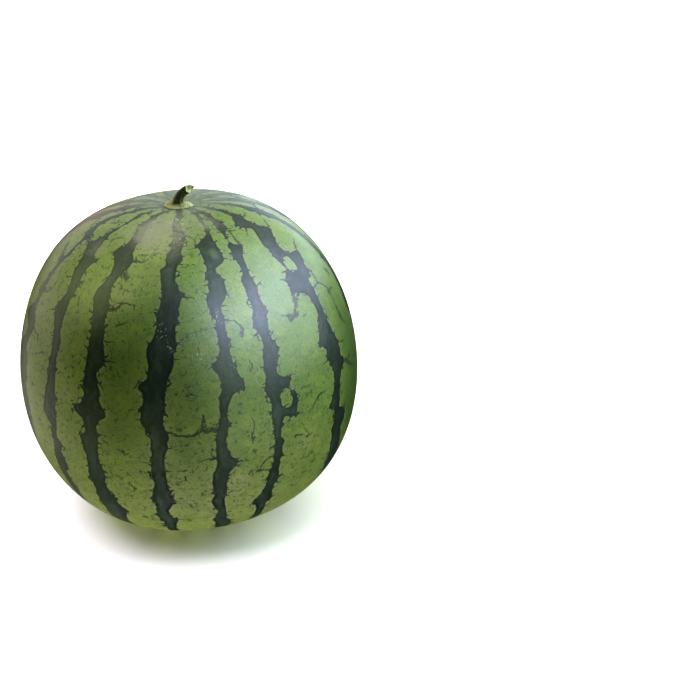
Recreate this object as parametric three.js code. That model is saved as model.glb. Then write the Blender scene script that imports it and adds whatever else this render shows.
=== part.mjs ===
// A small round striped watermelon, whole, with the stub of the stem it was cut from.
//
// Millimetres, +Z up. The fruit stands on its blossom end: the origin is the middle of the
// small flat spot that it rests on, and the stem end is on top. A bearing is an angle about
// +Z, counted from -Y towards +X; a latitude is an angle above the fruit's middle, so the
// stem end is at latitude 90.

import * as THREE from "three";

// The fruit's body
const MEAN_RADIUS = 115; // from the heart of the fruit to its rind
const WAIST = 1.3; // wider at the middle and shorter at both ends by this much
const SHOULDERS = 2.6; // fuller at 45 degrees up and down, flatter between, by this much
const TAPER = 1.5; // fuller just below the stem end than just above the blossom end
const HEART_HEIGHT = 108.8; // of the heart above the flat spot; the body ends below it
const DIP_DEPTH = 1.4; // of the shallow dip that the stem stands in
const DIP_SPREAD = 7; // degrees of latitude over which the dip fades

// Gentle swells and hollows of the rind: bearing and latitude in degrees, height in mm
const SWELLS = [
  { bearing: 105, latitude: 35, height: -1.3 },
  { bearing: 145, latitude: 57, height: 1.5 },
  { bearing: -150, latitude: 66, height: -1.5 },
  { bearing: -110, latitude: 50, height: 2.3 },
  { bearing: -73, latitude: -5, height: 1.4 },
  { bearing: -25, latitude: -45, height: 1.6 },
  { bearing: 20, latitude: -50, height: -0.9 },
  { bearing: 68, latitude: -35, height: 0.6 },
];
const SWELL_SPREAD = 28; // degrees over which a swell fades

// The stem and the corky collar at its foot
const STEM_PLACE = { x: -3, y: 0 }; // where it leaves the fruit, off the middle
const STEM_GAP = 0.3; // between the collar's underside and the rind
const COLLAR_RADIUS = 9.6; // along X
const COLLAR_DEPTH_RATIO = 0.74; // the collar's reach along Y over its reach along X
const COLLAR_TOP = 1.2; // height of the collar's shoulder
const SHAFT_RADIUS = 2.7;
const SHAFT_FOOT = 3.8; // height where the collar has run out into the shaft
const SHAFT_TOP = 15.4; // length of the stem along its own middle line
const BEND_START = 2; // the height on that line where the stem starts to lean
const FIRST_LEAN = 6; // degrees from upright, just above the collar
const LAST_LEAN = 70; // degrees from upright, at the cut end
const CUT_SLANT = 0.5; // rise of the slanted cut per mm across it, highest at the back
const CUT_REACH = 4; // length of shaft over which its sides run out to the slanted cut
const RIB_COUNT = 5;
const RIB_HEIGHT = 0.09; // part of the shaft's radius
const COLLAR_LOBES = 3;
const LOBE_HEIGHT = 0.05; // part of the collar's radius

// How finely the surfaces are cut into triangles
const MERIDIANS = 72;
const LATITUDE_STEP = 5; // degrees, over most of the fruit
const FINE_STEP = 2.5; // degrees, near the stem
const FINE_FROM = 75; // degrees of latitude
const STEM_SIDES = 30;

const radians = THREE.MathUtils.degToRad;

function direction(bearing, latitude) {
  const level = Math.cos(latitude);
  return new THREE.Vector3(
    level * Math.sin(bearing),
    -level * Math.cos(bearing),
    Math.sin(latitude),
  );
}

// A bump that is 1 at its middle and fades with the angle from it
function bump(cosine, spread) {
  return Math.exp(-(1 - cosine) / (1 - Math.cos(radians(spread))));
}

// Distance from the heart to the rind, along a unit vector
function rindRadius(unit) {
  const latitude = Math.asin(THREE.MathUtils.clamp(unit.z, -1, 1));
  let radius = MEAN_RADIUS + WAIST * Math.cos(2 * latitude);
  radius -= SHOULDERS * Math.cos(4 * latitude) + TAPER * Math.sin(3 * latitude);
  radius -= DIP_DEPTH * bump(unit.z, DIP_SPREAD);
  for (const swell of SWELLS) {
    const middle = direction(radians(swell.bearing), radians(swell.latitude));
    radius += swell.height * bump(unit.dot(middle), SWELL_SPREAD);
  }
  return radius;
}

// Height of the rind above the origin at a place near the stem
function rindHeight(x, y) {
  const spot = new THREE.Vector3(x, y, MEAN_RADIUS);
  for (let step = 0; step < 5; step += 1) {
    spot.z = Math.sqrt(rindRadius(spot.clone().normalize()) ** 2 - x * x - y * y);
  }
  return HEART_HEIGHT + spot.z;
}

// A closed round body about +Z from points of radius and height, lowest first. Each of its
// vertices is then moved by the function place.
function turnedBody(profile, sides, place) {
  const outline = profile.map(([radius, height]) => new THREE.Vector2(radius, height));
  const geometry = new THREE.LatheGeometry(outline, sides).rotateX(Math.PI / 2);
  const position = geometry.attributes.position;
  const point = new THREE.Vector3();
  for (let index = 0; index < position.count; index += 1) {
    place(point.fromBufferAttribute(position, index));
    position.setXYZ(index, point.x, point.y, point.z);
  }
  geometry.computeVertexNormals();
  return geometry;
}

// Points of a unit half circle from the blossom end to the stem end
function unitMeridian() {
  const points = [[0, -1]];
  let latitude = -90 + LATITUDE_STEP;
  while (latitude < 90) {
    points.push([Math.cos(radians(latitude)), Math.sin(radians(latitude))]);
    latitude += latitude < FINE_FROM ? LATITUDE_STEP : FINE_STEP;
  }
  points.push([0, 1]);
  return points;
}

function fruitGeometry() {
  return turnedBody(unitMeridian(), MERIDIANS, (point) => {
    point.normalize();
    point.multiplyScalar(rindRadius(point));
    point.z = Math.max(HEART_HEIGHT + point.z, 0); // level where the fruit rests
  });
}

// Radius and height of the straight stem, from under the collar to the middle of the cut
function stemProfile() {
  return [
    [0, 0],
    [0.5 * COLLAR_RADIUS, 0],
    [COLLAR_RADIUS, 0],
    [0.97 * COLLAR_RADIUS, 0.7],
    [0.8 * COLLAR_RADIUS, COLLAR_TOP],
    [0.57 * COLLAR_RADIUS, 1.6],
    [1.45 * SHAFT_RADIUS, BEND_START],
    [1.18 * SHAFT_RADIUS, SHAFT_FOOT],
    [1.03 * SHAFT_RADIUS, 5.8],
    [SHAFT_RADIUS, 7.8],
    [SHAFT_RADIUS, 9.8],
    [1.02 * SHAFT_RADIUS, 12.4],
    [1.06 * SHAFT_RADIUS, SHAFT_TOP],
    [0, SHAFT_TOP],
  ];
}

// 1 on the collar, falling to 0 where the shaft starts
function collarShareAt(height) {
  return 1 - THREE.MathUtils.smoothstep(height, COLLAR_TOP, SHAFT_FOOT);
}

// Ribs along the shaft, and an oval lobed collar
function shapeSection(point) {
  const angle = Math.atan2(point.y, point.x);
  const collarShare = collarShareAt(point.z);
  const ribs = 1 + (1 - collarShare) * RIB_HEIGHT * Math.cos(RIB_COUNT * angle);
  const lobes = 1 + collarShare * LOBE_HEIGHT * Math.cos(COLLAR_LOBES * angle);
  point.x *= ribs * lobes;
  point.y *= ribs * lobes * (1 - collarShare * (1 - COLLAR_DEPTH_RATIO));
}

// Leans the stem towards +X along an arc whose lean grows evenly
function bendStem(point) {
  if (point.z <= BEND_START) return;
  const first = radians(FIRST_LEAN);
  const arcRadius = (SHAFT_TOP - BEND_START) / (radians(LAST_LEAN) - first);
  const lean = first + (point.z - BEND_START) / arcRadius;
  const tilt = lean * THREE.MathUtils.smoothstep(point.z, BEND_START, SHAFT_FOOT);
  const across = point.x;
  point.x = arcRadius * (Math.cos(first) - Math.cos(lean)) + across * Math.cos(tilt);
  point.z = BEND_START + arcRadius * (Math.sin(lean) - Math.sin(first)) - across * Math.sin(tilt);
}

function stemGeometry() {
  const seat = rindHeight(STEM_PLACE.x, STEM_PLACE.y);
  return turnedBody(stemProfile(), STEM_SIDES, (point) => {
    const collarShare = collarShareAt(point.z);
    const cutShare = THREE.MathUtils.smoothstep(point.z, SHAFT_TOP - CUT_REACH, SHAFT_TOP);
    shapeSection(point);
    point.z += cutShare * CUT_SLANT * point.y;
    bendStem(point);
    point.x += STEM_PLACE.x;
    point.y += STEM_PLACE.y;
    const rind = rindHeight(point.x, point.y);
    point.z += STEM_GAP + THREE.MathUtils.lerp(seat, rind, collarShare);
  });
}

function namedMesh(name, geometry, finish) {
  const mesh = new THREE.Mesh(geometry, new THREE.MeshStandardMaterial(finish));
  mesh.name = name;
  return mesh;
}

const watermelon = new THREE.Group();
watermelon.add(
  namedMesh("fruit", fruitGeometry(), { color: 0x6f8a45, roughness: 0.38, metalness: 0 }),
  namedMesh("stem", stemGeometry(), { color: 0x5a5330, roughness: 0.8, metalness: 0 }),
);

export default watermelon;
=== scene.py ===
"""A small round striped watermelon: its rind with listed stripes, and its stem stub."""

import math

import bmesh
import bpy
import numpy as np
from mathutils import Euler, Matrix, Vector, noise


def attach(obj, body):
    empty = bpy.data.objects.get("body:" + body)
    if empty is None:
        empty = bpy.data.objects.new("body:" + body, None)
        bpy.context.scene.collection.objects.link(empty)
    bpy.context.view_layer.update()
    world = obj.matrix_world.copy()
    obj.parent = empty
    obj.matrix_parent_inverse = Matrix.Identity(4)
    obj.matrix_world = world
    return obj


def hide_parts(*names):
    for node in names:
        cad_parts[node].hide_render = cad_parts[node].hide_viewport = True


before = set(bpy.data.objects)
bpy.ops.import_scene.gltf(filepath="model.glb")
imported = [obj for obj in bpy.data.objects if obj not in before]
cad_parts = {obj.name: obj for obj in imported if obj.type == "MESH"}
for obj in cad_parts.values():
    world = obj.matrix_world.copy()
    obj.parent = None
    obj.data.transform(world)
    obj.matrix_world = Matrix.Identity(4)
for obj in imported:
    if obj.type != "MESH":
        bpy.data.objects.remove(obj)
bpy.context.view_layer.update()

bl_info = {
    "name": "Striped Watermelon",
    "version": (1, 0, 0),
    "blender": (4, 5, 0),
    "location": "3D View > Sidebar > Watermelon",
    "description": "Builds a whole striped watermelon with its stem stub, on a pale floor",
    "category": "Object",
}

MM = 0.001
DEGREE = math.radians(1)


# ---------------------------------------------------------------- node trees


class Value:
    """An output in a node tree. An operator on it adds the node that works the result out."""

    def __init__(self, tree, socket):
        self.tree = tree
        self.socket = socket

    def joined(self, operation, first, second):
        sides = (first, second)
        kinds = {side.socket.type for side in sides if isinstance(side, Value)}
        is_vector = "VECTOR" in kinds or any(isinstance(side, tuple) for side in sides)
        kind = "ShaderNodeVectorMath" if is_vector else "ShaderNodeMath"
        return self.tree.node(kind, {0: first, 1: second}, operation=operation)

    def __add__(self, other):
        return self.joined("ADD", self, other)

    def __radd__(self, other):
        return self.joined("ADD", other, self)

    def __sub__(self, other):
        return self.joined("SUBTRACT", self, other)

    def __rsub__(self, other):
        return self.joined("SUBTRACT", other, self)

    def __mul__(self, other):
        return self.joined("MULTIPLY", self, other)

    def __rmul__(self, other):
        return self.joined("MULTIPLY", other, self)

    def function(self, operation, *others):
        """The result of one of the Math node's operations."""
        inputs = dict(enumerate((self, *others)))
        return self.tree.node("ShaderNodeMath", inputs, operation=operation)

    def vector(self, operation, *others, output=0):
        """The result of one of the Vector Math node's operations."""
        inputs = dict(enumerate((self, *others)))
        return self.tree.node("ShaderNodeVectorMath", inputs, output, operation=operation)

    def between(self, low, high):
        """0 below low, 1 above high, and a smooth step from one to the other."""
        inputs = {0: self, 1: low, 2: high}
        return self.tree.node("ShaderNodeMapRange", inputs, interpolation_type="SMOOTHSTEP")

    def fading(self, low, high):
        """1 below low, 0 above high, and a smooth step from one to the other."""
        return 1.0 - self.between(low, high)


class Tree:
    """Adds nodes to a node tree."""

    def __init__(self, tree):
        self.nodes = tree.nodes
        self.links = tree.links

    def node(self, kind, inputs=None, output=0, **settings):
        """A new node's output. Settings come first, then its inputs' values or links."""
        made = self.nodes.new(kind)
        for name, setting in settings.items():
            setattr(made, name, setting)
        for name, value in (inputs or {}).items():
            socket = made.inputs[name]
            if isinstance(value, Value):
                self.links.new(value.socket, socket)
            elif socket.type == "VECTOR" and not hasattr(value, "__len__"):
                socket.default_value = (value,) * 3
            elif socket.type == "RGBA" and len(value) == 3:
                socket.default_value = (*value, 1.0)
            else:
                socket.default_value = value
        return Value(self, made.outputs[output])

    def stored(self, name):
        """A number stored on the mesh's points."""
        return self.node("ShaderNodeAttribute", output="Fac", attribute_name=name)

    def noise(self, place, scale, detail=2.0, roughness=0.5, output=0):
        """Noise over place, with scale in features for each unit of length."""
        inputs = {"Vector": place, "Scale": scale, "Detail": detail, "Roughness": roughness}
        return self.node("ShaderNodeTexNoise", inputs, output)

    def cells(self, place, scale, output, **settings):
        """One output of a pattern of random cells."""
        inputs = {"Vector": place, "Scale": scale}
        return self.node("ShaderNodeTexVoronoi", inputs, output, **settings)

    def gap(self, place, scale):
        """Distance from place to the nearest wall between random cells, in cell widths."""
        return self.cells(place, scale, "Distance", feature="DISTANCE_TO_EDGE")

    def parts(self, vector):
        """The X, Y and Z of a vector."""
        split = self.node("ShaderNodeSeparateXYZ", {0: vector}).socket.node
        return [Value(self, socket) for socket in split.outputs]

    def coated(self, base, *coats):
        """The base colour under coats, each the share of it that covers and its colour."""
        for share, coat in coats:
            inputs = {0: share, 6: base, 7: coat}
            base = self.node("ShaderNodeMix", inputs, output=2, data_type="RGBA")
        return base


def new_material(name, sockets):
    """A material with its surface shader's uniform values set, its tree and its shader."""
    material = bpy.data.materials.new(name)
    material.use_nodes = True
    surface = material.node_tree.nodes["Principled BSDF"]
    for socket, value in sockets.items():
        surface.inputs[socket].default_value = value
    return material, Tree(material.node_tree), surface


def drive(tree, surface, values):
    """Links what varies over a surface to its shader."""
    for socket, value in values.items():
        tree.links.new(value.socket, surface.inputs[socket])


def millimetres(tree):
    """The place on the object, in millimetres."""
    return tree.node("ShaderNodeTexCoord", output="Object") * (1 / MM)


def add_object(name, data):
    made = bpy.data.objects.new(name, data)
    bpy.context.scene.collection.objects.link(made)
    return made


def store(mesh, fields):
    """Stores numbers on a mesh's points, under the names that the materials read."""
    for name, values in fields.items():
        attribute = mesh.attributes.new(name, "FLOAT", "POINT")
        attribute.data.foreach_set("value", values.ravel().astype(np.float32))


# ---------------------------------------------------------------- settings


def size(name, description, default):
    return bpy.props.FloatProperty(
        name=name, description=description, default=default, min=0.0, unit="LENGTH"
    )


def angle(name, description, degrees):
    return bpy.props.FloatProperty(
        name=name, description=description, default=degrees * DEGREE, subtype="ANGLE"
    )


def fraction(name, description, default):
    return bpy.props.FloatProperty(
        name=name, description=description, default=default, min=0.0, max=1.0, subtype="FACTOR"
    )


def colour(name, description, default):
    return bpy.props.FloatVectorProperty(
        name=name, description=description, default=default, size=3, subtype="COLOR",
        min=0.0, max=1.0,
    )


class FruitSettings(bpy.types.PropertyGroup):
    mean_radius: size("Mean radius", "From the heart of the fruit to its rind", 115 * MM)
    waist: size("Waist", "Wider at the middle and shorter at the ends by this", 1.3 * MM)
    shoulders: size("Shoulders", "Fuller at 45 degrees up and down by this", 2.6 * MM)
    taper: size("Taper", "Fuller below the stem end than above the blossom end", 1.5 * MM)
    heart_height: size("Heart height", "Of the heart above the flat spot", 108.8 * MM)
    dip_depth: size("Dip depth", "Of the dip that the stem stands in", 1.4 * MM)
    relief: size("Relief", "Height of the rind's soft waves", 0.22 * MM)
    side_points: bpy.props.IntProperty(
        name="Points a side", description="Rows of points on each of the body's six sides",
        default=128, min=8, max=128,
    )
    light_green: colour("Light green", "Of the bands on the +X side", (0.136, 0.238, 0.038))
    light_yellow: colour("Yellow green", "Of the bands on the -X side", (0.186, 0.256, 0.035))
    light_deep: colour("Deep green", "Of the bands' darker cells", (0.07, 0.14, 0.012))
    vein_green: colour("Vein green", "Of the fine net in the bands", (0.045, 0.085, 0.012))
    rim_pale: colour("Pale rim", "Of the bands' edges beside the stripes", (0.23, 0.27, 0.13))
    dash_green: colour("Dash green", "Of the short strokes and specks", (0.016, 0.046, 0.004))
    line_green: colour("Line green", "Of the dark lines across the bands", (0.016, 0.03, 0.012))
    stripe_dark: colour("Stripe dark", "Of the stripes' middles", (0.0095, 0.0225, 0.0122))
    stripe_edge: colour("Stripe edge", "Of the stripes' dark edges", (0.004, 0.014, 0.003))
    # the stripes' pale clouds are partly a painted sheen, where the stored fades lie
    stripe_pale: colour("Stripe pale", "Of the lighter clouds in the stripes", (0.034, 0.061, 0.043))
    # the crown's grey is partly a painted sheen
    crown_dark: colour("Crown dark", "Of the dusty crown's rays", (0.088, 0.117, 0.104))
    crown_pale: colour("Crown pale", "Between the dusty crown's rays", (0.20, 0.245, 0.205))
    # partly a painted brown-grey sheen near the crown
    powder_and_sheen: colour("Powder", "Of the dusty places near the crown", (0.27, 0.275, 0.225))
    # the pale flecks are partly painted glints
    fleck_and_glint: colour("Flecks", "Of the pale flecks in the scuffed places", (0.50, 0.54, 0.40))
    # painted reflection: a red reflection painted on the upper -X rim
    painted_red_reflection: colour("Ruddy", "Where the rind is ruddy from the sun", (0.20, 0.085, 0.035))
    scar: colour("Blossom scar", "Under the fruit, in the middle", (0.16, 0.11, 0.05))
    gloss_roughness: fraction("Roughness", "Of the waxy rind", 0.34)
    wax: fraction("Wax", "How much wax lies on the light bands", 0.25)
    seed: bpy.props.IntProperty(
        name="Seed", description="Draws the stripes on the far side", default=7, min=0
    )


class StemSettings(bpy.types.PropertyGroup):
    collar_radius: size("Collar radius", "Of the corky collar, along X", 9.6 * MM)
    shaft_radius: size("Shaft radius", "Of the stem stub", 2.7 * MM)
    length: size("Length", "Along the stem's own middle line", 15.2 * MM)
    first_lean: angle("First lean", "From upright, above the collar", 6)
    last_lean: angle("Last lean", "From upright, at the cut end", 70)
    bark: colour("Bark", "Of the dry shaft", (0.055, 0.058, 0.007))
    # the ridges' paleness is partly a painted highlight
    bark_ridge_and_highlight: colour("Ridges", "Of the shaft's paler ridges", (0.28, 0.29, 0.12))
    cork: colour("Cork", "Of the collar", (0.34, 0.32, 0.15))
    # the collar's rim is a painted highlight
    cork_pale_and_rim_highlight: colour("Pale cork", "Of the collar's rim and its +X side", (0.52, 0.55, 0.34))
    cork_brown: colour("Brown cork", "Where the shaft leaves the collar", (0.12, 0.085, 0.025))
    cut_pale: colour("Cut", "Of the pale cut end", (0.62, 0.64, 0.38))
    # partly painted shade in the cut end
    pith_and_shade: colour("Pith", "Of the dried hollow in the cut end", (0.38, 0.38, 0.22))


class StageSettings(bpy.types.PropertyGroup):
    camera_distance: size("Camera distance", "From the heart of the fruit", 0.92)
    camera_pitch: angle("Camera pitch", "How far the camera looks down", 27.9)
    lens: bpy.props.FloatProperty(
        name="Lens", description="In millimetres, on a 36 mm sensor", default=68.45, min=1.0
    )
    floor_size: size("Floor size", "Width of the round floor", 3.4)
    floor_colour: colour("Floor colour", "Of the plain floor", (0.86, 0.80, 0.90))


# ---------------------------------------------------------------- the fruit's body

# Gentle swells and hollows of the rind: bearing and latitude in degrees, height in mm
SWELLS = [
    (105, 35, -1.3), (145, 57, 1.5), (-150, 66, -1.5), (-110, 50, 2.3),
    (-73, -5, 1.4), (-25, -45, 1.6), (20, -50, -0.9), (68, -35, 0.6),
]
SWELL_SPREAD = 28  # degrees over which a swell fades
DIP_SPREAD = 7  # degrees over which the dip at the stem fades
REST_EASE = 0.3 * MM  # how softly the flat spot runs into the body
WAVE_SCALE = 30.0  # the soft waves' features for each metre
WAVE_MIDDLE = 0.85  # keeps nearly all of the waves below the smooth body
BODY_SIZES = ["mean_radius", "waist", "shoulders", "taper", "heart_height", "dip_depth", "relief"]


def direction(bearing, latitude):
    """A unit vector: bearing about +Z from -Y towards +X, and latitude above level."""
    turn, rise = bearing * DEGREE, latitude * DEGREE
    return (math.cos(rise) * math.sin(turn), -math.cos(rise) * math.cos(turn), math.sin(rise))


def narrowness(spread):
    """How fast a round bump or spot fades, from its spread in degrees."""
    return 1 / (1 - math.cos(spread * DEGREE))


def body_tree(material):
    """The geometry tree of the fruit's body. Its inputs have the names of their settings."""
    group = bpy.data.node_groups.new("fruit_body", "GeometryNodeTree")
    tree = Tree(group)
    for name in BODY_SIZES:
        group.interface.new_socket(name, in_out="INPUT", socket_type="NodeSocketFloat")
    group.interface.new_socket("side_points", in_out="INPUT", socket_type="NodeSocketInt")
    group.interface.new_socket("Geometry", in_out="OUTPUT", socket_type="NodeSocketGeometry")
    entry = group.nodes.new("NodeGroupInput")
    given = {socket.name: Value(tree, socket) for socket in entry.outputs if socket.name}

    # a cube whose grid is evened out and blown up to a ball
    counts = {"Vertices " + axis: given["side_points"] for axis in "XYZ"}
    box = tree.node("GeometryNodeMeshCube", {"Size": (2.0, 2.0, 2.0), **counts})
    evened = (tree.node("GeometryNodeInputPosition") * (math.pi / 4)).vector("TANGENT")
    unit = evened.vector("NORMALIZE")
    height = tree.parts(unit)[2]
    latitude = height.function("ARCSINE")

    radius = given["mean_radius"] + given["waist"] * (latitude * 2.0).function("COSINE")
    radius = radius - given["shoulders"] * (latitude * 4.0).function("COSINE")
    radius = radius - given["taper"] * (latitude * 3.0).function("SINE")
    dip = ((height - 1.0) * narrowness(DIP_SPREAD)).function("EXPONENT")
    radius = radius - given["dip_depth"] * dip
    for bearing, middle, swell in SWELLS:
        cosine = unit.vector("DOT_PRODUCT", direction(bearing, middle), output="Value")
        bump = ((cosine - 1.0) * narrowness(SWELL_SPREAD)).function("EXPONENT")
        radius = radius + bump * (swell * MM)
    wave = tree.noise(unit * given["mean_radius"], WAVE_SCALE, detail=1.0) - WAVE_MIDDLE
    radius = radius + wave * given["relief"]

    across, along, up = tree.parts(unit * radius)
    up = (up + given["heart_height"]).function("SMOOTH_MAX", 0.0, REST_EASE)
    place = tree.node("ShaderNodeCombineXYZ", {0: across, 1: along, 2: up})
    body = tree.node("GeometryNodeSetPosition", {"Geometry": box, "Position": place})
    body = tree.node("GeometryNodeSetShadeSmooth", {"Geometry": body, "Shade Smooth": True})
    body = tree.node("GeometryNodeRealizeInstances", {"Geometry": body})
    body = tree.node("GeometryNodeSetMaterial", {"Geometry": body, "Material": material})
    leave = group.nodes.new("NodeGroupOutput")
    group.links.new(body.socket, leave.inputs["Geometry"])
    return group


def mesh_from_tree(name, group, settings):
    """A plain object made by a geometry tree, with its inputs set from the settings."""
    maker = add_object(name + "_maker", bpy.data.meshes.new(name + "_seed"))
    modifier = maker.modifiers.new("shape", "NODES")
    modifier.node_group = group
    for item in group.interface.items_tree:
        if item.in_out == "INPUT":
            modifier[item.identifier] = getattr(settings, item.name)
    maker.data.update()
    evaluated = maker.evaluated_get(bpy.context.evaluated_depsgraph_get())
    mesh = bpy.data.meshes.new_from_object(evaluated)
    mesh.name = name
    material = mesh.materials[-1]
    mesh.materials.clear()
    mesh.materials.append(material)
    mesh.polygons.foreach_set("material_index", np.zeros(len(mesh.polygons), np.int32))
    bpy.data.objects.remove(maker)
    return add_object(name, mesh)


# ---------------------------------------------------------------- the rind's markings
#
# Bearings and latitudes are in degrees. A stripe is its edges from the stem end down:
# latitude, west edge and east edge. Its edges run straight between the points, but for
# slightly eased corners.

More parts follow.
